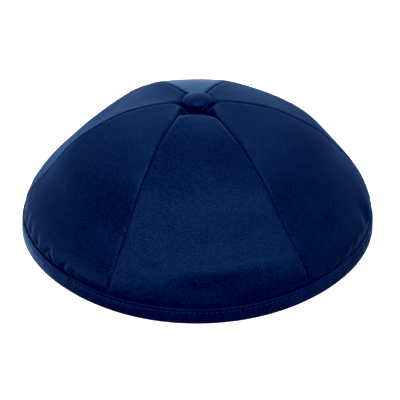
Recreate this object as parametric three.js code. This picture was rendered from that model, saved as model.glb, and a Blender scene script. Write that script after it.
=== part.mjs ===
// A satin skullcap sewn from six gores, with a folded band round its rim and a covered button on top.
// Millimetres and degrees, +Z up. The cap rests on its band at z = 0, with its axis on the origin,
// and azimuth 270 (-Y) is its front.
import * as THREE from "three";

// Driving sizes
const RIM_RADIUS = 86; // outside of the band at its foot
const CAP_HEIGHT = 64.2; // foot of the band to the crest that rings the button
const CLOTH = 1.2; // satin, stiffening and backing of a gore together
const SEAM_GAP = 0.3; // between neighbouring gores
const FIT_GAP = 0.3; // between a gore and the band or the button
const SEAM_DEPTH = 0.7; // how far a seam is drawn into the crown
const SEAM_SHOULDER = 2.2; // how far from the seam the cloth starts to roll into it
const SWELL = 3; // unit of the gores' fullness, below
const BAND_HEIGHT = 7.4;
const BAND_CLOTH = 0.9; // each of the band's two leaves
const BAND_LEAN = 0.8; // how far the top of the band leans in
const BAND_FOLD = 0.8; // radius of the fold along the band's foot
const SLOT_FLOOR = 2.2; // height at which the crown's raw edge ends in the fold
const BUTTON_RADIUS = 6.6;
const BUTTON_DOME = 2.7; // rise of the button's face above its widest line
const BUTTON_BACK = 3.8; // depth of its back below that line
const BUTTON_BACK_RADIUS = 3.4;
const CHEEK_INSET = 0.4; // from the button's edge in to the shoulder of its hollow cheek
const CHEEK_HEIGHT = 2.35; // from the foot of its back up to that shoulder
const SHANK_RADIUS = 1.1;
const SHANK_TAIL = 0.6; // how far the shank comes through the cloth
const PIT_DEPTH = 3.4; // how far the button is drawn into the crown
const PIT_MARGIN = 3.7; // from the button's edge to the crest of a gore's tip
const PIT_FLOOR_INSET = 0.33; // from the button's edge in to the pit's floor
const TONGUE = 4.5; // how much further out the pit reaches along a seam
const TONGUE_SHARPNESS = 3; // above 1, the pit's brim turns out closer to the seam
const HEM_PUFF = 0.8; // how far the crown puffs out just above the band, all the way round
const HEM_RISE = 0.14; // share of the profile, up from the band, over which it does
const HEM_EASE = 0.04; // share of the profile over which the crown's relief dies out at the band

// Proportions of the small curves
const LEAF_ROUNDING = 0.35; // share of a leaf's thickness that its rounded top edge takes
const FOLD_BEVEL = 0.3; // share of the fold's radius at which its bevel turns
const GATHER_FULL = 1 / 3; // share of its reach, up from the band, over which a gather is full

// Mesh densities
const DOME_ROWS = 13;
const HEM_CROWDING = 1.3; // above 1, the dome's rows lie closer together towards the band
const BAND_STEPS = 84;
const BUTTON_STEPS = 24;
const DOME_ARC_STEPS = 6;
const PIT_FLOOR_ROW = 0.6; // share of the pit's floor at which its middle row lies
const PIT_WALL_ROWS = [0, 0.4, 0.75, 1]; // shares of the pit's wall
const BRIM_ROWS = [1.2, 1.45]; // rows beyond the brim, in shares of its radius
const SHOULDER_COLUMN = 0.4; // share of a seam's shoulder that its first cell takes
const SHOULDER_LIMIT = 1 / 6; // most of a gore's width that a shoulder takes
const NORMAL_STEP = 0.002; // share of the profile between two points that give its direction
const HALVINGS = 40; // steps of the search along the profile

// Satin
const CROWN_NAVY = 0x0a2750;
const BAND_NAVY = 0x0d2b57;
const BUTTON_NAVY = 0x0c2951;
const SATIN_ROUGHNESS = 0.5;

// The seams' common profile, from the apex to the band: reach as a share of the crown's radius at the
// band, and rise as a share of the crown's height above the band
const PROFILE = [
  { reach: 0, rise: 1 },
  { reach: 0.155, rise: 0.986 },
  { reach: 0.306, rise: 0.948 },
  { reach: 0.446, rise: 0.877 },
  { reach: 0.569, rise: 0.772 },
  { reach: 0.676, rise: 0.663 },
  { reach: 0.765, rise: 0.535 },
  { reach: 0.837, rise: 0.407 },
  { reach: 0.908, rise: 0.287 },
  { reach: 0.972, rise: 0.154 },
  { reach: 1, rise: 0 },
];

// The six seams, by azimuth at the button and at the band. Stand is how far a seam stands out of the
// common profile, in units of SWELL, at equal steps from the apex to the band.
const SEAMS = [
  { atTop: 241.1, atBand: 241.9, stand: [0, 0.45, -0.2, -0.65, -0.6, 0] },
  { atTop: 300.5, atBand: 306.8, stand: [0, 0.13, 0.25, -0.15, -0.14, 0] },
  { atTop: 362.8, atBand: 374.1, stand: [0, 0.07, 0.06, 0.06, 0.07, 0] },
  { atTop: 426.8, atBand: 424.9, stand: [0, -0.06, -0.15, 0, 0.09, 0] },
  { atTop: 482.2, atBand: 484.2, stand: [0, 0.24, 0.02, 0.27, 0.22, 0] },
  { atTop: 545, atBand: 542.4, stand: [0, 0.3, 0.38, 0.18, -0.13, 0] },
];

// The gores, each from the seam of its row to the next one. Cells are its mesh's across, two of them on
// each seam's shoulder. Fullness is how far the middle of the gore stands out of the round between its
// seams, in the same units and steps: above 0 the cloth puffs, below 0 it is drawn flat.
const GORES = [
  { name: "gore_front", cells: 18, fullness: [0, -0.24, -0.28, -0.13, 0.05, 0.14] },
  { name: "gore_front_right", cells: 18, fullness: [0, -0.18, -0.16, -0.02, 0.1, 0] },
  { name: "gore_back_right", cells: 13, fullness: [0, -0.31, -0.37, 0.13, 0, -0.4] },
  { name: "gore_back", cells: 13, fullness: [0, -0.44, -0.28, -0.13, 0, 0] },
  { name: "gore_back_left", cells: 14, fullness: [0, -0.67, -1.3, -1, -0.52, -0.2] },
  { name: "gore_front_left", cells: 24, fullness: [0, -0.18, -0.16, 0.06, 0.27, 0.26] },
];

// Soft dents and puffs: centre by azimuth and by share of the way down the profile, half-widths in
// degrees and in the same share, and height in units of SWELL, below 0 for a dent
const DENTS = [
  { azimuth: 272, along: 0.87, wide: 9, long: 0.06, height: -0.22 },
  { azimuth: 255, along: 0.8, wide: 8, long: 0.06, height: 0.16 },
  { azimuth: 286, along: 0.78, wide: 8, long: 0.07, height: 0.14 },
  { azimuth: 343, along: 0.88, wide: 4, long: 0.07, height: -0.3 },
  { azimuth: 327, along: 0.93, wide: 5, long: 0.05, height: 0.2 },
  { azimuth: 36, along: 0.62, wide: 14, long: 0.1, height: 0.12 },
];

// Gathers: short creases that the band draws up into the crown. Width is in degrees, reach is a share of
// the way up the profile, and depth is in units of SWELL.
const GATHERS = [
  { azimuth: 21, wide: 4, reach: 0.11, depth: 0.16 },
  { azimuth: 47, wide: 4, reach: 0.1, depth: 0.16 },
  { azimuth: 84, wide: 4, reach: 0.11, depth: 0.16 },
  { azimuth: 107, wide: 4, reach: 0.1, depth: 0.14 },
  { azimuth: 143, wide: 4, reach: 0.11, depth: 0.16 },
  { azimuth: 166, wide: 4, reach: 0.12, depth: 0.18 },
  { azimuth: 190, wide: 2.4, reach: 0.13, depth: 0.34 },
  { azimuth: 198, wide: 2.4, reach: 0.17, depth: 0.42 },
  { azimuth: 206, wide: 2.4, reach: 0.18, depth: 0.46 },
  { azimuth: 214, wide: 2.4, reach: 0.14, depth: 0.42 },
  { azimuth: 222, wide: 2.4, reach: 0.12, depth: 0.38 },
  { azimuth: 230, wide: 2.4, reach: 0.1, depth: 0.32 },
  { azimuth: 249, wide: 3, reach: 0.08, depth: 0.14 },
  { azimuth: 297, wide: 3, reach: 0.08, depth: 0.14 },
  { azimuth: 320, wide: 3, reach: 0.11, depth: 0.24 },
  { azimuth: 331, wide: 3, reach: 0.12, depth: 0.26 },
  { azimuth: 342, wide: 3, reach: 0.2, depth: 0.46 },
  { azimuth: 354, wide: 3, reach: 0.12, depth: 0.24 },
];

// The rim's plan, out of round from handling: shares of its radius at equal steps of azimuth from the
// first one
const PLAN_START = 15;
const PLAN = [1, 1, 1, 0.999, 0.9965, 0.995, 1.007, 0.998, 1.0055, 1.005, 0.997, 1.006];

// Sizes that follow
const BAND_TOP_RADIUS = RIM_RADIUS - BAND_LEAN;
const SLOT_OUTER = BAND_TOP_RADIUS - BAND_CLOTH;
const CROWN_RADIUS = SLOT_OUTER - FIT_GAP;
const SLOT_INNER = CROWN_RADIUS - CLOTH - FIT_GAP;
const BAND_INNER = SLOT_INNER - BAND_CLOTH;
const PIT_FLOOR_RADIUS = BUTTON_RADIUS - PIT_FLOOR_INSET;
const PIT_BRIM_RADIUS = BUTTON_RADIUS + PIT_MARGIN;
const TIP_RADIUS = SHANK_RADIUS + FIT_GAP;
const PIT_FLOOR = CAP_HEIGHT - PIT_DEPTH;
const GATHER_START = 2 * SEAM_SHOULDER; // from a seam to where a gather has its full depth

const radians = THREE.MathUtils.degToRad;
const mix = THREE.MathUtils.lerp;
const bell = (distance) => Math.exp(-distance * distance);

// Ease from 0 to 1 as value goes from start to end.
function ease(value, start, end) {
  return THREE.MathUtils.smoothstep(value, start, end);
}

// A cubic between two values with these slopes.
function cubic(first, firstSlope, second, secondSlope, part) {
  const square = part * part;
  const cube = square * part;
  return (
    (2 * cube - 3 * square + 1) * first +
    (cube - 2 * square + part) * firstSlope +
    (3 * square - 2 * cube) * second +
    (cube - square) * secondSlope
  );
}

// A smooth curve through equally spaced values, read at a share of its length.
function curveThrough(values, share) {
  const last = values.length - 1;
  const place = THREE.MathUtils.clamp(share, 0, 1) * last;
  const index = Math.min(Math.floor(place), last - 1);
  const slope = (at) =>
    at === 0 || at === last
      ? values[Math.min(at + 1, last)] - values[Math.max(at - 1, 0)]
      : (values[at + 1] - values[at - 1]) / 2;
  return cubic(values[index], slope(index), values[index + 1], slope(index + 1), place - index);
}

const REACHES = PROFILE.map((row) => row.reach);
const RISES = PROFILE.map((row) => row.rise);

// The seam profile at a share of the way from the apex to the band.
function profileAt(along) {
  return new THREE.Vector2(
    CROWN_RADIUS * curveThrough(REACHES, along),
    BAND_HEIGHT + (CAP_HEIGHT - BAND_HEIGHT) * curveThrough(RISES, along),
  );
}

// The outward normal of the profile, in the plane of radius and height.
function profileNormal(along) {
  const before = profileAt(Math.max(along - NORMAL_STEP, 0));
  const after = profileAt(Math.min(along + NORMAL_STEP, 1));
  const run = after.sub(before).normalize();
  return new THREE.Vector2(-run.y, run.x);
}

// The share of the way down the profile at which it has this radius.
function alongAtRadius(radius) {
  let low = 0;
  let high = 1;
  for (let step = 0; step < HALVINGS; step++) {
    const middle = (low + high) / 2;
    if (profileAt(middle).x < radius) low = middle;
    else high = middle;
  }
  return (low + high) / 2;
}

// The rim's plan, as a share of its radius at an azimuth.
function planAt(azimuth) {
  const count = PLAN.length;
  const place = ((azimuth - PLAN_START) / 360 + 2) * count;
  const index = Math.floor(place);
  const value = (step) => PLAN[(index + step) % count];
  const slope = (step) => (value(step + 1) - value(step - 1)) / 2;
  return cubic(value(0), slope(0), value(1), slope(1), place - index);
}

// The seams on the two sides of a gore.
function seamsOf(gore) {
  return [SEAMS[gore], SEAMS[(gore + 1) % SEAMS.length]];
}

// The azimuths of a gore's two sides at a share of the way down.
function sidesAt(gore, along) {
  const [left, right] = seamsOf(gore).map((seam) => mix(seam.atTop, seam.atBand, along));
  return [left, right < left ? right + 360 : right];
}

// Degrees between two azimuths, whichever way is shorter.
function apart(first, second) {
  return ((((first - second) % 360) + 540) % 360) - 180;
}

// How far the cloth stands off the common profile, along its normal, on gore number gore.
function standOff(gore, across, along, azimuth, fromSeam) {
  const [left, right] = seamsOf(gore).map((seam) => curveThrough(seam.stand, along));
  const fullness = curveThrough(GORES[gore].fullness, along);
  let height = SWELL * (mix(left, right, (across + 1) / 2) + fullness * (1 - across * across));
  for (const dent of DENTS)
    height +=
      SWELL *
      dent.height *
      bell(apart(azimuth, dent.azimuth) / dent.wide) *
      bell((along - dent.along) / dent.long);
  const awayFromSeam = ease(fromSeam, 0, GATHER_START);
  for (const gather of GATHERS)
    height -=
      SWELL *
      gather.depth *
      awayFromSeam *
      bell(apart(azimuth, gather.azimuth) / gather.wide) *
      ease(along, 1 - gather.reach, 1 - gather.reach * GATHER_FULL);
  height += HEM_PUFF * ease(along, 1 - HEM_RISE, 1 - HEM_EASE);
  const roll = Math.max(0, 1 - fromSeam / SEAM_SHOULDER);
  return (height - SEAM_DEPTH * roll * roll) * ease(1 - along, 0, HEM_EASE);
}

// How far the button draws the cloth down at a radius.
function pitDrop(radius, across) {
  const brim = PIT_BRIM_RADIUS + TONGUE * Math.abs(across) ** TONGUE_SHARPNESS;
  return PIT_DEPTH * ease(brim - radius, 0, brim - PIT_FLOOR_RADIUS);
}

// A point of a gore's wall, depth below its outer face.
function gorePoint(gore, across, along, fromSeam, depth) {
  const azimuth = mix(...sidesAt(gore, along), (across + 1) / 2);
  const place = profileAt(along);
  const normal = profileNormal(along);
  const off = standOff(gore, across, along, azimuth, fromSeam) - depth;
  const drop = pitDrop(place.x, across);
  const angle = radians(azimuth);
  const plan = mix(1, planAt(azimuth), along * along);
  const radius = Math.max(place.x + normal.x * off, TIP_RADIUS) * plan;
  return new THREE.Vector3(
    radius * Math.cos(angle),
    radius * Math.sin(angle),
    place.y + normal.y * off - drop,
  );
}

// Distances of a row's points from the left seam's middle, with two narrow cells on each shoulder.
function columnPlaces(width, cells) {
  const first = SEAM_GAP / 2;
  const shoulder = Math.min(SEAM_SHOULDER, width * SHOULDER_LIMIT);
  const edge = [first, first + shoulder * SHOULDER_COLUMN, first + shoulder];
  const inner = cells - 2 * (edge.length - 1);
  const places = [...edge];
  for (let cell = 1; cell < inner; cell++)
    places.push(mix(edge.at(-1), width - edge.at(-1), cell / inner));
  for (const place of edge.toReversed()) places.push(width - place);
  return places;
}

// Rows of a gore, as shares of the way down the profile: finer over the pit's wall.
function rowPlaces() {
  const rows = [TIP_RADIUS, mix(TIP_RADIUS, PIT_FLOOR_RADIUS, PIT_FLOOR_ROW)];
  for (const share of PIT_WALL_ROWS) rows.push(mix(PIT_FLOOR_RADIUS, PIT_BRIM_RADIUS, share));
  for (const share of BRIM_ROWS) rows.push(PIT_BRIM_RADIUS * share);
  const places = rows.map(alongAtRadius);
  const first = places.at(-1);
  for (let row = 1; row <= DOME_ROWS; row++)
    places.push(mix(1, first, (1 - row / DOME_ROWS) ** HEM_CROWDING));
  return places;
}

// Closes a grid of outer points and the grid of inner points below it into one solid.
function shellFromGrids(outer, inner) {
  const rows = outer.length;
  const columns = outer[0].length;
  const positions = [...outer.flat(), ...inner.flat()].flatMap((point) => point.toArray());
  const at = (face, row, column) => (face * rows + row) * columns + column;
  const index = [];
  const quad = (a, b, c, d) => index.push(a, b, c, a, c, d);
  for (let row = 0; row + 1 < rows; row++)
    for (let column = 0; column + 1 < columns; column++) {
      quad(at(0, row, column), at(0, row + 1, column), at(0, row + 1, column + 1), at(0, row, column + 1));
      quad(at(1, row, column), at(1, row, column + 1), at(1, row + 1, column + 1), at(1, row + 1, column));
    }
  for (let row = 0; row + 1 < rows; row++) {
    const end = columns - 1;
    quad(at(0, row, 0), at(1, row, 0), at(1, row + 1, 0), at(0, row + 1, 0));
    quad(at(0, row, end), at(0, row + 1, end), at(1, row + 1, end), at(1, row, end));
  }
  for (let column = 0; column + 1 < columns; column++) {
    const end = rows - 1;
    quad(at(0, 0, column), at(0, 0, column + 1), at(1, 0, column + 1), at(1, 0, column));
    quad(at(0, end, column), at(1, end, column), at(1, end, column + 1), at(0, end, column + 1));
  }
  return geometryOf(positions, index);
}

function geometryOf(positions, index) {
  const geometry = new THREE.BufferGeometry();
  geometry.setAttribute("position", new THREE.Float32BufferAttribute(positions, 3));
  geometry.setIndex(index);
  geometry.computeVertexNormals();
  return geometry;
}

// One gore: its rows from the button to the band, then down into the band's slot.
function makeGore(gore) {
  const grids = [0, CLOTH].map((depth) =>
    rowPlaces().map((along) => {
      const [left, right] = sidesAt(gore, along);
      const width = profileAt(along).x * radians(right - left);
      return columnPlaces(width, GORES[gore].cells).map((place) => {
        const across = (2 * place) / width - 1;
        return gorePoint(gore, across, along, Math.min(place, width - place), depth);
      });
    }),
  );
  for (const grid of grids) {
    const hem = grid.at(-1);
    grid.push(hem.map((point) => new THREE.Vector3(point.x, point.y, SLOT_FLOOR + FIT_GAP)));
  }
  return shellFromGrids(...grids);
}

// The band's section, from its foot up the outer leaf, down into the slot and back down the inner leaf.
function bandSection() {
  const round = BAND_CLOTH * LEAF_ROUNDING;
  const lean = (height) => RIM_RADIUS - (BAND_LEAN * height) / BAND_HEIGHT;
  return [
    [RIM_RADIUS - BAND_FOLD, 0],
    [RIM_RADIUS - BAND_FOLD * FOLD_BEVEL, BAND_FOLD * FOLD_BEVEL],
    [lean(BAND_FOLD), BAND_FOLD],
    [lean(BAND_HEIGHT - round), BAND_HEIGHT - round],
    [BAND_TOP_RADIUS - BAND_CLOTH / 2, BAND_HEIGHT],
    [SLOT_OUTER, BAND_HEIGHT - round],
    [SLOT_OUTER, SLOT_FLOOR],
    [SLOT_INNER, SLOT_FLOOR],
    [SLOT_INNER, BAND_HEIGHT - round],
    [SLOT_INNER - BAND_CLOTH / 2, BAND_HEIGHT],
    [BAND_INNER, BAND_HEIGHT - round],
    [BAND_INNER, BAND_FOLD],
    [BAND_INNER + BAND_FOLD, 0],
  ];
}

function makeBand() {
  const section = bandSection();
  const positions = [];
  const index = [];
  for (let step = 0; step < BAND_STEPS; step++) {
    const azimuth = (360 * step) / BAND_STEPS;
    const angle = radians(azimuth);
    const plan = planAt(azimuth);
    for (const [radius, height] of section)
      positions.push(radius * plan * Math.cos(angle), radius * plan * Math.sin(angle), height);
  }
  const count = section.length;
  const at = (step, point) => (step % BAND_STEPS) * count + (point % count);
  for (let step = 0; step < BAND_STEPS; step++)
    for (let point = 0; point < count; point++) {
      const [a, b] = [at(step, point), at(step + 1, point)];
      const [c, d] = [at(step + 1, point + 1), at(step, point + 1)];
      index.push(a, b, c, a, c, d);
    }
  return geometryOf(positions, index);
}

// The button is turned: shank, hollow-cheeked back and domed face. Its back rests on the gores' tips.
function makeButton() {
  const seat = PIT_FLOOR + FIT_GAP;
  const widest = seat + BUTTON_BACK;
  const profile = [
    new THREE.Vector2(0, PIT_FLOOR - CLOTH - SHANK_TAIL),
    new THREE.Vector2(SHANK_RADIUS, PIT_FLOOR - CLOTH - SHANK_TAIL),
    new THREE.Vector2(SHANK_RADIUS, seat),
    new THREE.Vector2(BUTTON_BACK_RADIUS, seat),
    new THREE.Vector2(BUTTON_RADIUS - CHEEK_INSET, seat + CHEEK_HEIGHT),
  ];
  for (let step = 0; step <= DOME_ARC_STEPS; step++) {
    const angle = (Math.PI / 2) * (step / DOME_ARC_STEPS);
    const reach = step === DOME_ARC_STEPS ? 0 : BUTTON_RADIUS * Math.cos(angle);
    profile.push(new THREE.Vector2(reach, widest + BUTTON_DOME * Math.sin(angle)));
  }
  const geometry = new THREE.LatheGeometry(profile, BUTTON_STEPS);
  geometry.rotateX(Math.PI / 2);
  return geometry;
}

function satin(color) {
  return new THREE.MeshStandardMaterial({ color, roughness: SATIN_ROUGHNESS, metalness: 0 });
}

function namedMesh(name, geometry, material) {
  const mesh = new THREE.Mesh(geometry, material);
  mesh.name = name;
  return mesh;
}

const cap = new THREE.Group();
GORES.forEach((row, gore) => cap.add(namedMesh(row.name, makeGore(gore), satin(CROWN_NAVY))));
cap.add(namedMesh("rim_band", makeBand(), satin(BAND_NAVY)));
cap.add(namedMesh("top_button", makeButton(), satin(BUTTON_NAVY)));

export default cap;
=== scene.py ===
import math

import bmesh
import bpy
import numpy as np
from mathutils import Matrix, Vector


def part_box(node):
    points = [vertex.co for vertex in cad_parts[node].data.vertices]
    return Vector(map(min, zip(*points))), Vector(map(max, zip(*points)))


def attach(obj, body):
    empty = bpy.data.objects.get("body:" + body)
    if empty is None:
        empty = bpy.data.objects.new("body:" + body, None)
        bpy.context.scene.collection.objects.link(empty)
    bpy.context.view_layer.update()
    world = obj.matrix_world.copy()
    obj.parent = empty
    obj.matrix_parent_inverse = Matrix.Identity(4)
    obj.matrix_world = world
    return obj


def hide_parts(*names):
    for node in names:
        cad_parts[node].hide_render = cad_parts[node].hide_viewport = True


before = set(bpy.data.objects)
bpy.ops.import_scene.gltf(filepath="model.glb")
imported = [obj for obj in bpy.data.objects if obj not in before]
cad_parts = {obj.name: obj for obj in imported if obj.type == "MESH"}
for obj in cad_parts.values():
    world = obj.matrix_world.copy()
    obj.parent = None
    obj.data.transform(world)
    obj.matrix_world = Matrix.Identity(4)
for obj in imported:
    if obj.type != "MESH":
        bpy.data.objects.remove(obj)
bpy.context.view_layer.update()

MM = 0.001  # in Blender's metres

# Driving sizes, shared with the CAD model
RIM_RADIUS = 86  # outside of the band at its foot
CAP_HEIGHT = 64.2  # foot of the band to the crest that rings the button
CLOTH = 1.2  # thickness of a gore
SWELL = 3  # unit of the gores' fullness, below
BAND_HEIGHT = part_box("rim_band")[1][2] / MM
BAND_CLOTH = 0.9  # each of the band's two leaves
BAND_LEAN = 0.8  # how far the top of the band leans in
BAND_FOLD = 0.8  # radius of the fold along the band's foot
SLOT_FLOOR = 2.2  # height at which the crown's raw edge ends in the fold
FIT_GAP = 0.3  # between a gore and the band or the button
HEM_PUFF = 0.8  # how far the crown puffs out just above the band
HEM_RISE = 0.14  # share of the profile, up from the band, over which it does
HEM_EASE = 0.04  # share of the profile over which the relief dies out at the band
SHANK_RADIUS = 1.1
SHANK_TAIL = 0.6  # how far the shank comes through the cloth
BUTTON_LOW, BUTTON_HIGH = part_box("top_button")
BUTTON_RADIUS = (BUTTON_HIGH[0] - BUTTON_LOW[0]) / 2 / MM
BUTTON_TOP = BUTTON_HIGH[2] / MM
BUTTON_DOME = 2.7  # rise of the button's face above its widest line
BUTTON_BACK_RADIUS = 3.4

# The pit round the button, deeper than in the CAD model, and the swing of the seams near it
PIT_DEPTH = 4.1
PIT_WALL = 4.8  # from the pit's brim in to the foot of its wall
SWING_RADIUS = 10  # a seam has its whole swing up to this radius
SWING_REACH = 8  # how far beyond it the swing dies out

# Fine relief that only the visible cloth has
SEAM_DEPTH = 0.9  # how far the cloth rolls down into a seam
SEAM_SHOULDER = 2.4  # how far from the seam the roll starts
SEAM_SHARPNESS = 2.5  # above 1, the roll is steeper close to the seam
STITCHED_DEPTH = 0.45  # the narrow groove of the seam itself
STITCHED_WIDTH = 0.22
PUCKER_HEIGHT = 0.07  # ripples beside a seam
PUCKER_REACH = 4
PUCKER_SHIFT = 13  # keeps the puckers of two gores out of step
WAVE_HEIGHT = 0.12  # broad unevenness of the cloth
WAVE_SHIFT = 20  # keeps the waves along a gore out of step with those round it
WAVE_START, WAVE_FULL = 0.15, 0.5  # shares of the profile between which the waves set in
WAVE_EASE = 10  # how far from a seam they have their full height

# Ripples, as rows of wavelength, share and phase
PUCKER_WAVES = [(5.3, 0.5, 0.4), (3.7, 0.35, 1.9), (8.9, 0.4, 4.1)]
BAND_WAVES = [(17, 0.4, 0.3), (9.7, 0.3, 2.2), (6.1, 0.2, 5.1), (41, 0.5, 1.2)]
BROAD_WAVES = [(47, 0.5, 0.9), (31, 0.4, 2.7), (73, 0.6, 5.2)]

# The band's leaves
LEAF_PUFF = 0.18  # how far each leaf puffs out between the fold and the stitches
LEAF_SWAY = 0.14  # how far it ripples in and out
SWAY_START, SWAY_FULL = 0.2, 2.5  # heights between which the ripple sets in
LEAF_LIFT = 0.12  # how far the outer leaf's top edge ripples up and down
LIFT_REACH = 1.5  # how far below the top it does
LEAF_CLOSING = 0.8  # share of the fit gap by which the outer leaf closes in on the crown
OUTER_LIP_DROP = 0.5  # from the foot of a leaf's rounded top down to the next point of its face
INNER_LIP_DROP = 0.3

# The band's top-stitching
STITCH_PITCH = 2.5
STITCH_LENGTH = 1.85
STITCH_THICKNESS = 0.42
STITCH_FLATNESS = 0.7  # its thickness off the leaf, as a share of that along it
STITCH_LINE = 1.5  # from the top of the band down to the stitches
STITCH_DIP = 0.22  # how far the stitches draw the leaves in
STITCH_DIP_CHANGE = 0.07  # how much that varies along each stitch
STITCH_DIP_WIDTH = 0.45
TUCK_HEIGHT = 0.05  # small tucks along the stitches
TUCK_WIDTH = 1.6
STITCH_STAND = 0.12  # from the leaf out to a stitch's middle line
STITCH_SINK = 0.1  # how far its ends curve in
STITCH_TAPER = 3  # above 1, a stitch keeps its girth until close to its ends
STITCH_END = 0.02  # least share of its section, at the ends
STITCH_SLANT = 0.1  # most that a stitch rises over its run
STITCH_WOBBLE = 0.05  # most that it strays up or down
SLANT_STEP, WOBBLE_STEP = 2.4, 1.7  # radians from one stitch to the next

# The covered button's back, rim and pleats
COLLAR = 1.6  # where the flat of the back starts, in radii of the shank
BACK_BEVEL = [(0.5, 0.5), (1.3, 1.3)]  # out from the back's edge and up from its foot
CHEEK = [(1, 1.35), (0.45, 0.95)]  # in from the button's edge and down from its widest line
RIM_ROUNDING = 0.75
RIM_DROP = 0.1  # from the widest line down to the middle of the rim's rounding
RIM_START, RIM_END = -50, 62  # angles of the rounding
FACE_BLUNTNESS = 0.8  # below 1, the face is flatter in its middle
BUTTON_CLOTH_PLACE = (50, 50)  # on its cloth, so that its middle isn't at the layer's corner
PLEATS = 21
PLEAT_DEPTH = 0.16
PLEAT_DRIFT = 1.3  # how far, in radians, the pleats shift, so that they aren't alike
PLEAT_DRIFTS = 3  # how many times round
PLEAT_FALL = (0.4, 2.4)  # below the widest line, where the pleats set in
PLEAT_REACH = (1.6, 3.5)  # radii between which they set in

# The seams' common profile, from the apex to the band, as shares of the crown's radius and height
PROFILE = [
    # reach, rise
    (0, 1),
    (0.155, 0.986),
    (0.306, 0.948),
    (0.446, 0.877),
    (0.569, 0.772),
    (0.676, 0.663),
    (0.765, 0.535),
    (0.837, 0.407),
    (0.908, 0.287),
    (0.972, 0.154),
    (1, 0),
]

# The seams: azimuth at the apex, azimuth at the band, swing near the button in degrees,
# radius of the pit's corner, and stand out of the profile in units of SWELL
SEAMS = [
    (241.1, 241.9, -12.5, 18.5, [0, 0.45, -0.2, -0.65, -0.6, 0]),
    (300.5, 306.8, 9, 19.5, [0, 0.13, 0.25, -0.15, -0.14, 0]),
    (362.8, 374.1, 2, 14, [0, 0.07, 0.06, 0.06, 0.07, 0]),
    (426.8, 424.9, 0, 12.4, [0, -0.06, -0.15, 0, 0.09, 0]),
    (482.2, 484.2, 0, 12.4, [0, 0.24, 0.02, 0.27, 0.22, 0]),
    (545, 542.4, -2, 14.4, [0, 0.3, 0.38, 0.18, -0.13, 0]),
]

# The gores, each from the seam of its row to the next one: the radius where its tip dips into
# the pit, how blunt the tip is, and its fullness in units of SWELL
GORES = [
    ("gore_front", 13.5, 2.3, [0, -0.24, -0.28, -0.13, 0.05, 0.14]),
    ("gore_front_right", 11.4, 5, [0, -0.18, -0.16, -0.02, 0.1, 0]),
    ("gore_back_right", 10.6, 4, [0, -0.31, -0.37, 0.13, 0, -0.4]),
    ("gore_back", 10.6, 4, [0, -0.44, -0.28, -0.13, 0, 0]),
    ("gore_back_left", 10.6, 4, [0, -0.67, -1.3, -1, -0.52, -0.2]),
    ("gore_front_left", 11.8, 3.5, [0, -0.18, -0.16, 0.06, 0.27, 0.26]),
]

# Dents and puffs: wide in degrees, long in shares of the profile, and high in units of SWELL
DENTS = [
    # azimuth, along, wide, long, height
    (273, 0.82, 24, 0.055, 0.28),
    (272, 0.92, 8, 0.05, -0.22),
    (236, 0.63, 10, 0.08, -0.22),
    (311, 0.61, 9, 0.08, -0.2),
    (316, 0.92, 7, 0.05, -0.16),
    (276, 0.97, 28, 0.1, -0.42),
    (255, 0.7, 7, 0.04, 0.12),
    (254, 0.82, 9, 0.04, -0.26),
    (286, 0.79, 9, 0.05, 0.1),
    (343, 0.88, 4, 0.07, -0.26),
    (327, 0.93, 5, 0.05, 0.16),
    (36, 0.62, 14, 0.1, 0.12),
]

# Gathers drawn up from the band: wide in degrees, reaching up in shares of the profile, and deep
# in units of SWELL. Lean is how far a crease slants, in degrees over its reach.
GATHERS = [
    # azimuth, wide, reach, depth, lean
    (12, 1.6, 0.08, 0.12, 1),
    (21, 1.8, 0.1, 0.18, -1),
    (33, 1.6, 0.07, 0.12, 0),
    (47, 1.8, 0.09, 0.18, 1),
    (58, 1.6, 0.07, 0.12, 0),
    (75, 1.6, 0.07, 0.12, 0),
    (84, 1.8, 0.1, 0.18, 1),
    (96, 1.6, 0.07, 0.12, -1),
    (107, 1.8, 0.09, 0.16, 0),
    (117, 1.6, 0.07, 0.12, 0),
    (133, 1.6, 0.07, 0.12, 1),
    (143, 1.8, 0.1, 0.18, -1),
    (155, 1.6, 0.08, 0.12, 0),
    (166, 1.8, 0.11, 0.2, 1),
    (176, 1.6, 0.08, 0.14, 0),
    (190, 1.6, 0.11, 0.18, -2),
    (198, 1.3, 0.12, 0.24, -3),
    (203.5, 1.2, 0.11, 0.28, -3),
    (209, 1.1, 0.1, 0.32, -2),
    (213, 0.9, 0.09, 0.28, 3),
    (218, 1.1, 0.1, 0.34, -3),
    (222.5, 0.9, 0.09, 0.28, 3),
    (229, 1.1, 0.08, 0.18, -2),
    (249, 1.6, 0.07, 0.1, 0),
    (260, 1.5, 0.06, 0.08, 0),
    (287, 1.5, 0.06, 0.08, 0),
    (297, 1.6, 0.07, 0.12, 1),
    (314, 1.3, 0.07, 0.14, 0),
    (321, 1.6, 0.09, 0.12, 1),
    (328, 1.6, 0.09, 0.14, 1),
    (335, 1.5, 0.08, 0.1, 2),
    (342, 2.4, 0.19, 0.26, 5),
    (349, 1.6, 0.08, 0.12, 2),
    (355, 1.5, 0.1, 0.18, 1),
]
GATHER_RIDGE = 0.55  # height of the ridge beside a gather, as a share of its depth
GATHER_RIDGE_PLACE = 2  # where it lies and how wide it is, in widths of the gather
GATHER_RIDGE_WIDTH = 1.4
GATHER_FULL = 1 / 3  # share of its reach, up from the band, over which a gather is full

# The rim's plan: shares of its radius at equal steps of azimuth
PLAN_START = 15
PLAN = [1, 1, 1, 0.999, 0.9965, 0.995, 1.007, 0.998, 1.0055, 1.005, 0.997, 1.006]

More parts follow.
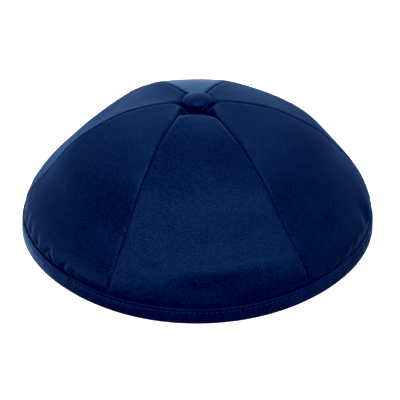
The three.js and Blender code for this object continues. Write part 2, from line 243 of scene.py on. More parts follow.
# Camera, as fitted to the photograph
CAMERA_ELEVATION = 34.07
CAMERA_DISTANCE = 635.7
CAMERA_FOCAL = 1279.4  # in pixels of the photograph
IMAGE_WIDTH = 400  # in those pixels too
SENSOR = 36
CAMERA_AIM_RIGHT = 1.27  # from the origin to the point that it looks at
CAMERA_AIM_UP = 7.05
CAMERA_FAR = 50  # metres that it sees

# Colours, all linear
NAVY = (0.0017, 0.0067, 0.0222)
NAVY_DULL = (0.004, 0.013, 0.042)
NAVY_THREAD = (0.003, 0.012, 0.038)
EDGE_TINT = (0.385, 0.665, 1, 1)
SHEEN_TINT = (0.23, 0.45, 1, 1)
FLOOR_WHITE = (0.85, 0.85, 0.85)
BLACK_LEVEL = (0.004, 0.0085, 0)

# Satin
SATIN_ROUGHNESS = 0.5
SATIN_GLOSS = 0.4  # share of the light that the threads mirror in their own colour
SATIN_SHEEN = 0.106
BAND_SHEEN = 1.5 * SATIN_SHEEN
SATIN_STRETCH = 0.9  # how far its highlights stretch, from 0 to 1
CREASED_STRETCH = 0.5  # the same where the cloth is folded or gathered
REVERSE_ROUGHNESS = 0.85
WHITE_GLOSS = 0.012
SHEEN_ROUGHNESS = 0.3
QUARTER_TURN = 0.25  # turns the stretch by a right angle

# The weave. Places on the cloth layer are in decimetres, and those on the object in metres.
DECIMETRES = 10
WAVE_LENGTH = math.pi / 10  # length of a wave texture's wave at scale 1
SATIN_RIB = 0.06514  # from one faint rib of the cloth to the next, in decimetres
REVERSE_RIB = 0.0987
WEFT_RATIO = 2.5  # how much further apart the ribs lie along the cloth than across it
STREAK_STRETCH = (0.7, 14, 1)
STREAK_SCALE = 1.6
CREASE_SCALE = 55
GRAIN_SCALE = 1500
CREASE_SHARE = 1.2  # shares of creases, streaks and grain in the uneven dye
STREAK_SHARE = 0.3
GRAIN_SHARE = 6
DYE_RANGE = (2.6, 4.8)  # sums of these shares that give the darkest and the palest dye
DYE_SPREAD = 0.5
RELIEF = [
    # layer, strength, depth in metres
    ("warp", 0.25, 0.00004),
    ("weft", 0.2, 0.00003),
    ("streaks", 0.15, 0.00008),
    ("creases", 0.5, 0.0009),
    ("grain", 0.6, 0.00012),
]

# Studio, in metres
LAMP_SIZE = 1.0
LAMP_DISTANCE = 1.7
FLOOR_REACH = 1.2
LAMPS = [
    # name, azimuth, elevation, brightness
    ("front_high", 270, 66, 14.5),
    ("front", 270, 44, 8.5),
    ("front_right", 306, 44, 6),
    ("right", 345, 22, 3),
    ("right_low", 0, 2, 3),
    ("right_high", 38, 52, 5),
    ("back_right_low", 45, 8, 2),
    ("back_right", 75, 22, 4),
    ("back_left", 105, 22, 5),
    ("back_high", 100, 44, 5),
    ("back_low", 90, 0, 2),
    ("left_high", 150, 56, 4.5),
    ("left_low", 180, 2, 11),
    ("back_left_low", 140, 4, 4),
    ("front_left_low", 225, 2, 4),
    ("bounce_left", 145, -26, 7),
    ("bounce_front", 270, -34, 1.5),
    ("bounce_right", 345, -30, 3),
    ("bounce_below", 270, -80, 6),
]

# Mesh densities
GORE_COLUMNS = 72
SEAM_COLUMNS = [0, 0.1, 0.2, 0.32, 0.48, 0.7, 1, 1.35, 1.8, 2.4, 3.2, 4.2]
SHOULDER_LIMIT = 1 / 6  # most of a gore's width that the columns beside a seam take
PIT_ROWS = 44
DOME_ROWS = 110
HEM_CROWDING = 1.3  # above 1, the dome's rows lie closer together towards the band
LENGTH_STEPS = 400
NORMAL_STEP = 0.002  # share of the profile between two points that give its direction
BAND_CELLS_PER_STITCH = 6
OUTER_LEAF_STEPS = 22
INNER_LEAF_STEPS = 12
FOLD_STEPS = 6
FOOT_STEPS = 5
OUTER_LIP_STEPS = 7
INNER_LIP_STEPS = 5
SLOT_STEPS = 3
STITCH_RINGS = 7
STITCH_SIDES = 6
BUTTON_STEPS = 144
SHANK_STEPS = 5
BACK_STEPS = 4
RIM_STEPS = 9
FACE_STEPS = 16

# Sizes that follow
BAND_TOP_RADIUS = RIM_RADIUS - BAND_LEAN
SLOT_OUTER = BAND_TOP_RADIUS - BAND_CLOTH
CROWN_RADIUS = SLOT_OUTER - FIT_GAP
SLOT_INNER = CROWN_RADIUS - CLOTH - FIT_GAP
BAND_INNER = SLOT_INNER - BAND_CLOTH
PIT_REACH = max(seam[3] for seam in SEAMS)
PIT_FLOOR = CAP_HEIGHT - PIT_DEPTH
BUTTON_SEAT = PIT_FLOOR + FIT_GAP
TIP_RADIUS = SHANK_RADIUS + FIT_GAP / 2
STITCH_HEIGHT = BAND_HEIGHT - STITCH_LINE
STITCH_COUNT = round(2 * math.pi * RIM_RADIUS / STITCH_PITCH)


def ease(value, start, end):
    """A smooth rise from 0 at start to 1 at end."""
    share = np.clip((value - start) / (end - start), 0, 1)
    return share * share * (3 - 2 * share)


def bell(distance):
    """A smooth hump, 1 at no distance."""
    return np.exp(-distance * distance)


def cubic(first, first_slope, second, second_slope, part):
    """The curve between two values with their slopes, read at a part of the way."""
    square = part * part
    cube = square * part
    return (
        (2 * cube - 3 * square + 1) * first
        + (cube - 2 * square + part) * first_slope
        + (3 * square - 2 * cube) * second
        + (cube - square) * second_slope
    )


def curve_through(values, share):
    """A curve of even curvature through equally spaced values, read at shares of its length."""
    values = np.asarray(values, float)
    last = len(values) - 1
    system = 4 * np.eye(last + 1) + np.eye(last + 1, k=1) + np.eye(last + 1, k=-1)
    system[0, 0] = system[last, last] = 2
    rises = 3 * np.diff(values)
    slopes = np.linalg.solve(system, np.append(rises, 0) + np.append(0, rises))
    place = np.clip(share, 0, 1) * last
    index = np.minimum(np.floor(place), last - 1).astype(int)
    return cubic(values[index], slopes[index], values[index + 1], slopes[index + 1], place - index)


def plan_at(azimuth):
    """The rim's plan, as a share of its radius."""
    values = np.array(PLAN)
    count = len(values)
    neighbours = np.roll(np.eye(count), 1, axis=0) + np.roll(np.eye(count), -1, axis=0)
    rises = 3 * (np.roll(values, -1) - np.roll(values, 1))
    slopes = np.linalg.solve(4 * np.eye(count) + neighbours, rises)
    place = ((azimuth - PLAN_START) / 360 + 2) * count
    index = np.floor(place).astype(int)
    here, after = index % count, (index + 1) % count
    return cubic(values[here], slopes[here], values[after], slopes[after], place - index)


def profile_at(along):
    """Radius and height of the seams' profile, from the apex (0) to the band (1)."""
    reaches, rises = zip(*PROFILE)
    radius = CROWN_RADIUS * curve_through(reaches, along)
    height = BAND_HEIGHT + (CAP_HEIGHT - BAND_HEIGHT) * curve_through(rises, along)
    return radius, height


def profile_normal(along):
    """The way out of the profile, as shares out and up."""
    radius_before, height_before = profile_at(np.maximum(along - NORMAL_STEP, 0))
    radius_after, height_after = profile_at(np.minimum(along + NORMAL_STEP, 1))
    run, drop = radius_after - radius_before, height_after - height_before
    length = np.hypot(run, drop)
    return -drop / length, run / length


def apart(first, second):
    """Degrees between two azimuths, whichever way is shorter."""
    return (first - second + 540) % 360 - 180


def ripple(place, waves):
    """A sum of sines that doesn't repeat soon."""
    return sum(share * np.sin(2 * math.pi * place / length + phase) for length, share, phase in waves)


def relief(gore, across, along, azimuth, from_seam, length):
    """How far the cloth stands off the seams' common profile."""
    stands = [SEAMS[side % len(SEAMS)][-1] for side in (gore, gore + 1)]
    left, right = (curve_through(stand, along) for stand in stands)
    share = (across + 1) / 2
    fullness = curve_through(GORES[gore][-1], along)
    height = SWELL * (left + (right - left) * share + fullness * (1 - across ** 2))
    for centre, place, wide, long, dent in DENTS:
        height += SWELL * dent * bell(apart(azimuth, centre) / wide) * bell((along - place) / long)
    away = ease(from_seam, 0, SEAM_SHOULDER)
    for centre, wide, reach, depth, lean in GATHERS:
        up = np.clip((1 - along) / reach, 0, 1)
        offset = apart(azimuth, centre + lean * up) / wide
        ridge = GATHER_RIDGE * bell((offset - GATHER_RIDGE_PLACE) / GATHER_RIDGE_WIDTH)
        crease = ridge - bell(offset)
        height += SWELL * depth * away * crease * ease(along, 1 - reach, 1 - reach * GATHER_FULL)
    height += HEM_PUFF * ease(along, 1 - HEM_RISE, 1 - HEM_EASE)
    broad = ripple(azimuth, BROAD_WAVES) * ripple(length + WAVE_SHIFT, BROAD_WAVES)
    height += WAVE_HEIGHT * broad * ease(along, WAVE_START, WAVE_FULL) * ease(from_seam, 0, WAVE_EASE)
    puckers = ripple(length + PUCKER_SHIFT * gore * np.sign(across), PUCKER_WAVES)
    height += PUCKER_HEIGHT * puckers * bell(from_seam / PUCKER_REACH) * ease(from_seam, 0, 1)
    roll = np.maximum(0, 1 - from_seam / SEAM_SHOULDER)
    groove = SEAM_DEPTH * roll ** SEAM_SHARPNESS
    groove += STITCHED_DEPTH * np.exp(-from_seam / STITCHED_WIDTH)
    return (height - groove) * ease(1 - along, 0, HEM_EASE)


def pit_drop(gore, radius, across):
    """How far a gore's rounded tip falls into the pit around the button."""
    first, second = (SEAMS[side % len(SEAMS)][3] for side in (gore, gore + 1))
    corner = first + (second - first) * (across + 1) / 2
    tip, bluntness = GORES[gore][1:3]
    brim = tip + (corner - tip) * np.abs(across) ** bluntness
    share = np.clip((brim - radius) / PIT_WALL, 0, 1)
    return PIT_DEPTH * (1 - np.sqrt(1 - share ** 2))


def seam_azimuths(gore, along):
    """Azimuths of the seams on a gore's two sides."""
    radius = profile_at(along)[0]
    near = np.exp(-np.maximum(radius - SWING_RADIUS, 0) / SWING_REACH)
    sides = []
    for side in (gore, gore + 1):
        top, band, swing = SEAMS[side % len(SEAMS)][:3]
        sides.append(top + (band - top) * along + swing * near)
    first, second = sides
    return first, np.where(second < first, second + 360, second)


def gore_points(gore, along, place, width, depth):
    """Points of a gore's wall, depth below its outer face, and their place on the flat cloth."""
    left, right = seam_azimuths(gore, along)
    share = place / width
    across = 2 * share - 1
    from_seam = np.minimum(place, width - place)
    azimuth = left + (right - left) * share
    radius, height = profile_at(along)
    normal_out, normal_up = profile_normal(along)
    length = cloth_length(along)
    off = relief(gore, across, along, azimuth, from_seam, length) - depth
    drop = pit_drop(gore, radius, across)
    plan = 1 + (plan_at(azimuth) - 1) * along ** 2
    reach = np.maximum(radius + normal_out * off, TIP_RADIUS) * plan
    angle = np.radians(azimuth)
    top = height + normal_up * off - drop
    points = np.stack([reach * np.cos(angle), reach * np.sin(angle), top], -1)
    cloth = np.stack([length + 0 * place, place - width / 2], -1)
    return points, cloth


ALONG_TABLE = np.linspace(0, 1, LENGTH_STEPS)
RADIUS_TABLE, HEIGHT_TABLE = profile_at(ALONG_TABLE)
STEP_LENGTHS = np.hypot(np.diff(RADIUS_TABLE), np.diff(HEIGHT_TABLE))
LENGTH_TABLE = np.concatenate([[0], np.cumsum(STEP_LENGTHS)])


def cloth_length(along):
    """Length of cloth from the apex."""
    return np.interp(along, ALONG_TABLE, LENGTH_TABLE)


def along_at_radius(radius):
    """Where the profile reaches a radius."""
    return np.interp(radius, RADIUS_TABLE, ALONG_TABLE)


def gore_rows():
    """Places along the profile of a gore's rows: even over the pit, then closer towards the band."""
    pit_end = along_at_radius(PIT_REACH)
    pit = along_at_radius(np.linspace(TIP_RADIUS, PIT_REACH, PIT_ROWS))
    dome = 1 - (1 - pit_end) * (1 - np.linspace(0, 1, DOME_ROWS)[1:]) ** HEM_CROWDING
    return np.concatenate([pit, dome])


def column_places(width):
    """Distances across a gore, closer together along its two seams."""
    edge = np.array(SEAM_COLUMNS) * np.minimum(1, width * SHOULDER_LIMIT / SEAM_COLUMNS[-1])
    inner = np.linspace(0, 1, GORE_COLUMNS)[1:-1]
    middle = edge[:, -1:] + (width - 2 * edge[:, -1:]) * inner
    return np.concatenate([edge, middle, width - edge[:, ::-1]], 1)


def make_mesh(name, points, faces, slots=None, cloth=None, smooth=True):
    """A mesh object in metres from points in millimetres."""
    mesh = bpy.data.meshes.new(name)
    mesh.from_pydata((np.asarray(points) * MM).tolist(), [], faces)
    if slots is not None:
        mesh.polygons.foreach_set("material_index", np.asarray(slots, "i"))
    if cloth is not None:
        layer = mesh.uv_layers.new(name="cloth")
        corners = np.empty(len(mesh.loops), "i")
        mesh.loops.foreach_get("vertex_index", corners)
        layer.data.foreach_set("uv", (np.asarray(cloth)[corners] * MM * DECIMETRES).ravel())
    mesh.polygons.foreach_set("use_smooth", np.full(len(mesh.polygons), smooth))
    mesh.update()
    piece = bpy.data.objects.new(name, mesh)
    bpy.context.scene.collection.objects.link(piece)
    return piece


def grid_faces(rows, columns, start=0, flip=False, close_rows=False):
    """Quads of a grid of points, row by row."""
    row = np.arange(rows if close_rows else rows - 1)[:, None]
    column = np.arange(columns - 1)[None]
    after = (row + 1) % rows
    here = row * columns + column
    there = after * columns + column
    quads = np.stack([here, there, there + 1, here + 1], -1).reshape(-1, 4) + start
    return quads[:, ::-1] if flip else quads


def strip_faces(first, second):
    """Quads between two equally long lines of point numbers."""
    return np.stack([first[:-1], second[:-1], second[1:], first[1:]], -1)


def make_gore(gore):
    """A gore as one closed wall, with its place on the flat cloth."""
    along = gore_rows()[:, None]
    first, second = seam_azimuths(gore, along)
    width = profile_at(along)[0] * np.radians(second - first)
    place = column_places(width)
    grids = []
    for depth in (0, CLOTH):
        points, cloth = gore_points(gore, along + 0 * place, place, width, depth)
        hem = points[-1:].copy()
        hem[..., 2] = SLOT_FLOOR + FIT_GAP
        points = np.concatenate([points, hem])
        cloth = np.concatenate([cloth, cloth[-1:] + [BAND_HEIGHT - SLOT_FLOOR, 0]])
        grids.append((points, cloth))
    rows, columns = grids[0][0].shape[:2]
    count = rows * columns
    number = np.arange(count).reshape(rows, columns)
    faces = [
        grid_faces(rows, columns),
        grid_faces(rows, columns, count, flip=True),
        strip_faces(number[:, 0] + count, number[:, 0])[:, ::-1],
        strip_faces(number[:, -1], number[:, -1] + count)[:, ::-1],
        strip_faces(number[0], number[0] + count)[:, ::-1],
        strip_faces(number[-1] + count, number[-1])[:, ::-1],
    ]
    slots = np.concatenate([np.full(len(part), int(index == 1)) for index, part in enumerate(faces)])
    points = np.concatenate([grid[0].reshape(-1, 3) for grid in grids])
    cloth = np.concatenate([grid[1].reshape(-1, 2) for grid in grids])
    name = GORES[gore][0]
    piece = make_mesh("cloth_" + name, points, np.concatenate(faces).tolist(), slots, cloth)
    sharpen(piece, number, count)
    finish_piece(piece, name, [SATIN, REVERSE])
    return piece


def sharpen(piece, number, count):
    """Keeps the shading of a gore's faces apart from that of its cut edges."""
    borders = set()
    for start in (0, count):
        for chain in (number[:, 0], number[:, -1], number[0], number[-1]):
            for first, second in zip(chain[:-1] + start, chain[1:] + start):
                borders.add((int(min(first, second)), int(max(first, second))))
    edges = np.empty(2 * len(piece.data.edges), "i")
    piece.data.edges.foreach_get("vertices", edges)
    pairs = np.sort(edges.reshape(-1, 2), 1)
    marks = [tuple(pair) in borders for pair in pairs.tolist()]
    layer = piece.data.attributes.new("sharp_edge", "BOOLEAN", "EDGE")
    layer.data.foreach_set("value", marks)


def finish_piece(piece, node, materials):
    """Gives a piece its materials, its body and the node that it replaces."""
    for material in materials:
        piece.data.materials.append(material)
    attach(piece, "root")
    if node:
        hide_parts(node)


def arc(centre, radius, start, end, steps):
    """Points of an arc between two angles in degrees."""
    angle = np.radians(np.linspace(start, end, steps))
    return np.stack([centre[0] + radius * np.cos(angle), centre[1] + radius * np.sin(angle)], -1)


def line(first, second, steps):
    """Evenly spaced points from one point to another."""
    return np.linspace(first, second, steps)


def leaf_radius(height):
    """Outer face of the band at a height."""
    return RIM_RADIUS - BAND_LEAN * height / BAND_HEIGHT


def band_section():
    """Radius and height round the band's section, from the foot up its outer leaf and back inside."""
    lip = BAND_CLOTH / 2
    top = BAND_HEIGHT - lip
    outer_top = leaf_radius(top)
    outer_slot = SLOT_OUTER - FIT_GAP * LEAF_CLOSING
    fold = arc((RIM_RADIUS - BAND_FOLD, BAND_FOLD), BAND_FOLD, -90, -10, FOLD_STEPS)
    outer = line((leaf_radius(BAND_FOLD), BAND_FOLD), (outer_top, top), OUTER_LEAF_STEPS)
    outer_middle = (outer_top + outer_slot) / 2
    outer_lip = arc((outer_middle, top), outer_top - outer_middle, 20, 180, OUTER_LIP_STEPS)
    slot_down = line((outer_slot, top - OUTER_LIP_DROP), (outer_slot, SLOT_FLOOR), SLOT_STEPS)
    slot_up = line((SLOT_INNER, SLOT_FLOOR), (SLOT_INNER, top), SLOT_STEPS)
    inner_lip = arc(((SLOT_INNER + BAND_INNER) / 2, top), lip, 20, 160, INNER_LIP_STEPS)
    inner = line((BAND_INNER, top - INNER_LIP_DROP), (BAND_INNER, BAND_FOLD), INNER_LEAF_STEPS)
    foot = arc((BAND_INNER + BAND_FOLD, BAND_FOLD), BAND_FOLD, 190, 270, FOOT_STEPS)
    return np.concatenate([fold, outer, outer_lip, slot_down, slot_up, inner_lip, inner, foot])


def stitch_dip(height):
    """How much of the stitches' pull a height takes."""
    return bell((height - STITCH_HEIGHT) / STITCH_DIP_WIDTH)


def make_band():
    """The folded band as one closed ring, rippled and drawn in along its stitches."""
    section = band_section()
    steps = STITCH_COUNT * BAND_CELLS_PER_STITCH
    azimuth = (np.arange(steps) * 360 / steps)[:, None]
    plan = plan_at(azimuth)
    around = np.radians(azimuth) * RIM_RADIUS
    radius, height = section[None, :, 0], section[None, :, 1]
    outside = (radius > SLOT_OUTER).astype(float)
    inside = (radius < SLOT_INNER - BAND_CLOTH / 2).astype(float)
    face = outside - inside
    puff = np.sin(math.pi * np.clip(height / STITCH_HEIGHT, 0, 1)) * LEAF_PUFF
    sway = ripple(around, BAND_WAVES) * LEAF_SWAY * ease(height, SWAY_START, SWAY_FULL)
    stitch = np.cos(azimuth / 360 * STITCH_COUNT * 2 * math.pi)
    dip = stitch_dip(height) * (STITCH_DIP + STITCH_DIP_CHANGE * stitch)
    tucks = ripple(around + height, PUCKER_WAVES) * TUCK_HEIGHT
    tucks = tucks * bell((height - STITCH_HEIGHT) / TUCK_WIDTH)
    radius = radius * plan + face * (puff + sway + tucks - dip)
    lift = outside * ripple(around, BAND_WAVES) * LEAF_LIFT
    lift = lift * ease(height, BAND_HEIGHT - LIFT_REACH, BAND_HEIGHT)
    height = np.minimum(height + 0 * azimuth + lift, BAND_HEIGHT)
    angle = np.radians(azimuth)
    points = np.stack([radius * np.cos(angle), radius * np.sin(angle), height], -1)
    columns = len(section)
    points = np.concatenate([points, points[:, :1]], 1)
    travelled = np.concatenate([[0], np.cumsum(np.hypot(*np.diff(section, axis=0).T))])
    travelled = np.append(travelled, travelled[-1] + 1)
    cloth = np.stack([travelled + 0 * around, around + 0 * travelled], -1)
    # The last column repeats the first one, and is merged with it
    number = np.arange(steps * (columns + 1)).reshape(steps, columns + 1)
    faces = grid_faces(steps, columns + 1, close_rows=True)
    merged = number.copy()
    merged[:, -1] = number[:, 0]
    faces = merged.ravel()[faces]
    keep = np.unique(faces)
    renumber = np.full(number.size, -1)
    renumber[keep] = np.arange(len(keep))
    piece = make_mesh(
        "folded_rim_band",
        points.reshape(-1, 3)[keep],
        renumber[faces].tolist(),
        cloth=cloth.reshape(-1, 2)[keep],
    )
    finish_piece(piece, "rim_band", [BAND_SATIN])
    return piece


def stitch_faces():
    """Faces of one stitch, by the numbers of its points."""
    faces = []
    for ring in range(STITCH_RINGS - 1):
        for side in range(STITCH_SIDES):
            here = ring * STITCH_SIDES + side
            beside = ring * STITCH_SIDES + (side + 1) % STITCH_SIDES
            faces.append((here, beside, beside + STITCH_SIDES, here + STITCH_SIDES))
    first_cap = tuple(range(STITCH_SIDES))[::-1]
    last_cap = tuple((STITCH_RINGS - 1) * STITCH_SIDES + side for side in range(STITCH_SIDES))
    return faces + [first_cap, last_cap]


def make_stitches():
    """Both rows of the band's top-stitching, one on each face."""
    points, faces = [], []
    along = np.linspace(-1, 1, STITCH_RINGS)
    girth = np.sqrt(np.clip(1 - np.abs(along) ** STITCH_TAPER, STITCH_END, 1))
    sink = STITCH_SINK * along ** 2
    turn = np.arange(STITCH_SIDES) * 2 * math.pi / STITCH_SIDES
    half = STITCH_LENGTH / 2
    one_stitch = stitch_faces()
    up = np.array([0, 0, 1.0])
    for face, base in ((1, leaf_radius(STITCH_HEIGHT)), (-1, BAND_INNER)):
        for index in range(STITCH_COUNT):
            azimuth = (index + 0.5) * 360 / STITCH_COUNT
            angle = math.radians(azimuth)
            out = np.array([math.cos(angle), math.sin(angle), 0])
            side_way = np.array([-math.sin(angle), math.cos(angle), 0])
            run = side_way + STITCH_SLANT * math.sin(index * SLANT_STEP) * up
            wobble = STITCH_WOBBLE * math.sin(index * WOBBLE_STEP)
            sway = float(ripple(np.array(angle * RIM_RADIUS), BAND_WAVES)) * LEAF_SWAY
            radius = base * float(plan_at(np.array(azimuth))) + face * (sway + STITCH_STAND)
            centre = out * radius + up * (STITCH_HEIGHT + wobble)
            start = len(points)
            for place, width, drop in zip(along, girth, sink):
                middle = centre + run * half * place - out * face * drop
                spread = STITCH_THICKNESS / 2 * width
                for angle_round in turn:
                    off_leaf = out * math.cos(angle_round) * STITCH_FLATNESS
                    points.append(middle + spread * (off_leaf + up * math.sin(angle_round)))
            for corners in one_stitch:
                faces.append([start + corner for corner in corners])
    piece = make_mesh("band_stitches", points, faces)
    finish_piece(piece, None, [THREAD])
    turn_outwards(piece)
    return piece


def turn_outwards(piece):
    """Turns every face of a closed mesh outwards."""
    work = bmesh.new()
    work.from_mesh(piece.data)
    bmesh.ops.recalc_face_normals(work, faces=work.faces)
    work.to_mesh(piece.data)
    work.free()


def button_section():
    """The covered button's section from the shank's end to the top of its face."""
    seat = BUTTON_SEAT
    widest = BUTTON_TOP - BUTTON_DOME
    shank = line((SHANK_RADIUS, PIT_FLOOR - CLOTH - SHANK_TAIL), (SHANK_RADIUS, seat), SHANK_STEPS)
    back = line((SHANK_RADIUS * COLLAR, seat), (BUTTON_BACK_RADIUS, seat), BACK_STEPS)
    bevel = [(BUTTON_BACK_RADIUS + out, seat + up) for out, up in BACK_BEVEL]
    cheek = [(BUTTON_RADIUS - inset, widest - drop) for inset, drop in CHEEK]
    rim_middle = (BUTTON_RADIUS - RIM_ROUNDING, widest - RIM_DROP)
    rim = arc(rim_middle, RIM_ROUNDING, RIM_START, RIM_END, RIM_STEPS)
    edge, foot = rim[-1]
    reach = np.linspace(edge, 0, FACE_STEPS)[1:]
    rise = (BUTTON_TOP - foot) * (1 - (reach / edge) ** 2) ** FACE_BLUNTNESS
    face = np.stack([reach, foot + rise], -1)
    return np.concatenate([shank, back, bevel, cheek, rim, face])


def make_button():
    """The covered button with its gathered back and its shank, as one closed solid."""
    section = button_section()
    azimuth = (np.arange(BUTTON_STEPS) * 2 * math.pi / BUTTON_STEPS)[:, None]
    radius, height = section[None, :, 0], section[None, :, 1]
    widest = BUTTON_TOP - BUTTON_DOME
    gathered = ease(widest - height, *PLEAT_FALL) * ease(radius, *PLEAT_REACH)
    pleats = PLEAT_DEPTH * np.sin(PLEATS * azimuth + PLEAT_DRIFT * np.sin(PLEAT_DRIFTS * azimuth))
    reach = np.maximum(radius + pleats * gathered, 0)
    points = np.stack([reach * np.cos(azimuth), reach * np.sin(azimuth), height + 0 * azimuth], -1)
    columns = len(section) - 1
    ring = points[:, :columns].reshape(-1, 3)
    ends = np.array([[0, 0, section[0, 1]], [0, 0, section[-1, 1]]])
    faces = grid_faces(BUTTON_STEPS, columns, close_rows=True).tolist()
    first, last = len(ring), len(ring) + 1
    for step in range(BUTTON_STEPS):
        after = (step + 1) % BUTTON_STEPS
        faces.append([first, after * columns, step * columns])
        faces.append([last, step * columns + columns - 1, after * columns + columns - 1])
    everything = np.concatenate([ring, ends])
    cloth = everything[:, :2] + BUTTON_CLOTH_PLACE
    piece = make_mesh("covered_button", everything, faces, cloth=cloth)
    turn_outwards(piece)
    finish_piece(piece, "top_button", [BUTTON_SATIN])
    return piece


def add_node(tree, kind, inputs=None, **settings):
    """A shader node with its settings and its inputs' values."""
    node = tree.nodes.new(kind)
    for key, value in settings.items():
        setattr(node, key, value)
    for key, value in (inputs or {}).items():
        node.inputs[key].default_value = value
    return node


def weave_layers(tree, rib):
    """The cloth's layers: faint ribs both ways, streaks along its grain, soft creases and grain."""
    link = tree.links.new
    place = add_node(tree, "ShaderNodeUVMap", uv_map="cloth")
    warp = add_node(tree, "ShaderNodeTexWave", {
        "Scale": WAVE_LENGTH / rib,
        "Distortion": 0.6,
        "Detail": 2,
        "Detail Scale": 1.5,
    }, bands_direction="Y")
    weft = add_node(tree, "ShaderNodeTexWave", {
        "Scale": WAVE_LENGTH / rib / WEFT_RATIO,
        "Distortion": 0.8,
        "Detail": 1,
        "Detail Scale": 2,
    }, bands_direction="X")
    for wave in (warp, weft):
        link(place.outputs["UV"], wave.inputs["Vector"])
    stretch = add_node(tree, "ShaderNodeMapping", {"Scale": STREAK_STRETCH})
    link(place.outputs["UV"], stretch.inputs["Vector"])
    streaks = add_node(tree, "ShaderNodeTexNoise", {"Scale": STREAK_SCALE, "Detail": 4, "Roughness": 0.6})
    link(stretch.outputs["Vector"], streaks.inputs["Vector"])
    spot = add_node(tree, "ShaderNodeTexCoord")
    creases = add_node(tree, "ShaderNodeTexNoise", {
        "Scale": CREASE_SCALE,
        "Detail": 5,
        "Roughness": 0.55,
        "Distortion": 0.4,
    })
    grain = add_node(tree, "ShaderNodeTexNoise", {"Scale": GRAIN_SCALE, "Detail": 2, "Roughness": 0.7})
    for noise in (creases, grain):
        link(spot.outputs["Object"], noise.inputs["Vector"])
    return {"warp": warp, "weft": weft, "streaks": streaks, "creases": creases, "grain": grain}


def uneven_dye(tree, layers, colour):
    """A colour that creases, streaks and grain move between two blues."""
    link = tree.links.new
    total = None
    for name, share in (("streaks", STREAK_SHARE), ("creases", CREASE_SHARE), ("grain", GRAIN_SHARE)):
        added = add_node(tree, "ShaderNodeMath", {1: share, 2: 0}, operation="MULTIPLY_ADD")
        link(layers[name].outputs["Fac"], added.inputs[0])
        if total:
            link(total.outputs["Value"], added.inputs[2])
        total = added
    spread = add_node(tree, "ShaderNodeMapRange", {"From Min": DYE_RANGE[0], "From Max": DYE_RANGE[1]})
    link(total.outputs["Value"], spread.inputs["Value"])
    tone = add_node(tree, "ShaderNodeMix", {
        "A": (*(channel * (1 - DYE_SPREAD) for channel in colour), 1),
        "B": (*(channel * (1 + DYE_SPREAD) for channel in colour), 1),
    }, data_type="RGBA")
    link(spread.outputs["Result"], tone.inputs["Factor"])
    return tone.outputs["Result"]


def fabric(name, colour, roughness, stretch, gloss, sheen, rib):
    """A woven cloth with an uneven dye, whose highlights stretch across its length."""
    material = bpy.data.materials.new(name)
    material.use_nodes = True
    tree = material.node_tree
    tree.nodes.clear()
    link = tree.links.new
    output = add_node(tree, "ShaderNodeOutputMaterial")
    shader = add_node(tree, "ShaderNodeBsdfPrincipled", {
        "Roughness": roughness,
        "Metallic": gloss,
        "Anisotropic": stretch,
        "Anisotropic Rotation": QUARTER_TURN,
        "Specular IOR Level": WHITE_GLOSS,
        "Specular Tint": EDGE_TINT,
        "Sheen Weight": sheen,
        "Sheen Roughness": SHEEN_ROUGHNESS,
        "Sheen Tint": SHEEN_TINT,
    })
    link(shader.outputs["BSDF"], output.inputs["Surface"])
    tangent = add_node(tree, "ShaderNodeTangent", direction_type="UV_MAP", uv_map="cloth")
    link(tangent.outputs["Tangent"], shader.inputs["Tangent"])
    layers = weave_layers(tree, rib)
    link(uneven_dye(tree, layers, colour), shader.inputs["Base Color"])
    before = None
    for layer, strength, depth in RELIEF:
        bump = add_node(tree, "ShaderNodeBump", {"Strength": strength, "Distance": depth})
        link(layers[layer].outputs["Fac"], bump.inputs["Height"])
        if before:
            link(before.outputs["Normal"], bump.inputs["Normal"])
        before = bump
    link(before.outputs["Normal"], shader.inputs["Normal"])
    return material


def plain_material(name, colour):
    """A matt material of one colour."""
    material = bpy.data.materials.new(name)
    material.use_nodes = True
    shader = material.node_tree.nodes["Principled BSDF"]
    shader.inputs["Base Color"].default_value = (*colour, 1)
    shader.inputs["Roughness"].default_value = 1
    return material


def add_camera():
    """The photograph's camera."""
    elevation = math.radians(CAMERA_ELEVATION)
    back = Vector((0, -math.cos(elevation), math.sin(elevation)))
    up = Vector((0, math.sin(elevation), math.cos(elevation)))
    data = bpy.data.cameras.new("camera")
    data.sensor_width = SENSOR
    data.lens = CAMERA_FOCAL * SENSOR / IMAGE_WIDTH
    data.clip_end = CAMERA_FAR
    camera = bpy.data.objects.new("camera", data)
    camera.location = back * CAMERA_DISTANCE * MM
    aim = (Vector((1, 0, 0)) * CAMERA_AIM_RIGHT + up * CAMERA_AIM_UP) * MM
    camera.rotation_euler = (camera.location - aim).to_track_quat("Z", "Y").to_euler()
    bpy.context.scene.collection.objects.link(camera)
    bpy.context.scene.camera = camera


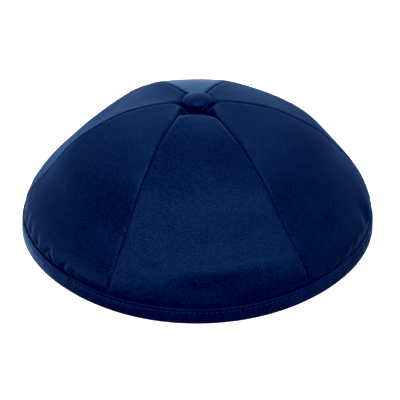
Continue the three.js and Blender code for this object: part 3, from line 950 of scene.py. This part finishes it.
def add_lamp(name, azimuth, elevation, brightness):
    """A round soft box that faces the cap from an azimuth and elevation."""
    data = bpy.data.lights.new(name, "AREA")
    data.shape = "DISK"
    data.size = LAMP_SIZE
    # A disk sends out pi times its area times its brightness
    data.energy = math.pi * math.pi * (LAMP_SIZE / 2) ** 2 * brightness
    lamp = bpy.data.objects.new(name, data)
    across, high = math.radians(azimuth), math.radians(elevation)
    way = Vector((math.cos(across) * math.cos(high), math.sin(across) * math.cos(high), math.sin(high)))
    lamp.location = way * LAMP_DISTANCE
    lamp.rotation_euler = way.to_track_quat("Z", "Y").to_euler()
    bpy.context.scene.collection.objects.link(lamp)


def add_studio():
    """A white floor and backdrop that light nothing, and the soft boxes that light the cap."""
    reach = FLOOR_REACH / MM
    points = [(-reach, -reach, 0), (reach, -reach, 0), (reach, reach, 0), (-reach, reach, 0)]
    floor = make_mesh("floor", points, [(0, 1, 2, 3)], smooth=False)
    floor.data.materials.append(plain_material("floor_white", FLOOR_WHITE))
    floor.visible_diffuse = floor.visible_glossy = floor.visible_shadow = False
    world = bpy.data.worlds.new("studio")
    world.use_nodes = True
    world.node_tree.nodes["Background"].inputs["Color"].default_value = (1, 1, 1, 1)
    world.cycles_visibility.diffuse = world.cycles_visibility.glossy = False
    bpy.context.scene.world = world
    for lamp in LAMPS:
        add_lamp(*lamp)
    view = bpy.context.scene.view_settings
    view.view_transform = "Standard"
    view.look = "None"
    view.use_curve_mapping = True
    view.curve_mapping.black_level = BLACK_LEVEL
    view.curve_mapping.update()


add_camera()
SATIN = fabric("navy_satin", NAVY, SATIN_ROUGHNESS, SATIN_STRETCH, SATIN_GLOSS, SATIN_SHEEN, SATIN_RIB)
# The folded band and the gathered button share one look
CREASED = (NAVY, SATIN_ROUGHNESS, CREASED_STRETCH, SATIN_GLOSS, BAND_SHEEN, SATIN_RIB)
BAND_SATIN = fabric("navy_satin_band", *CREASED)
BUTTON_SATIN = fabric("navy_satin_button", *CREASED)
REVERSE = fabric("satin_reverse", NAVY_DULL, REVERSE_ROUGHNESS, 0, 0, SATIN_SHEEN, REVERSE_RIB)
THREAD = fabric("navy_thread", NAVY_THREAD, SATIN_ROUGHNESS, 0, SATIN_GLOSS, SATIN_SHEEN, SATIN_RIB)
for number in range(len(GORES)):
    make_gore(number)
make_band()
make_stitches()
make_button()
add_studio()
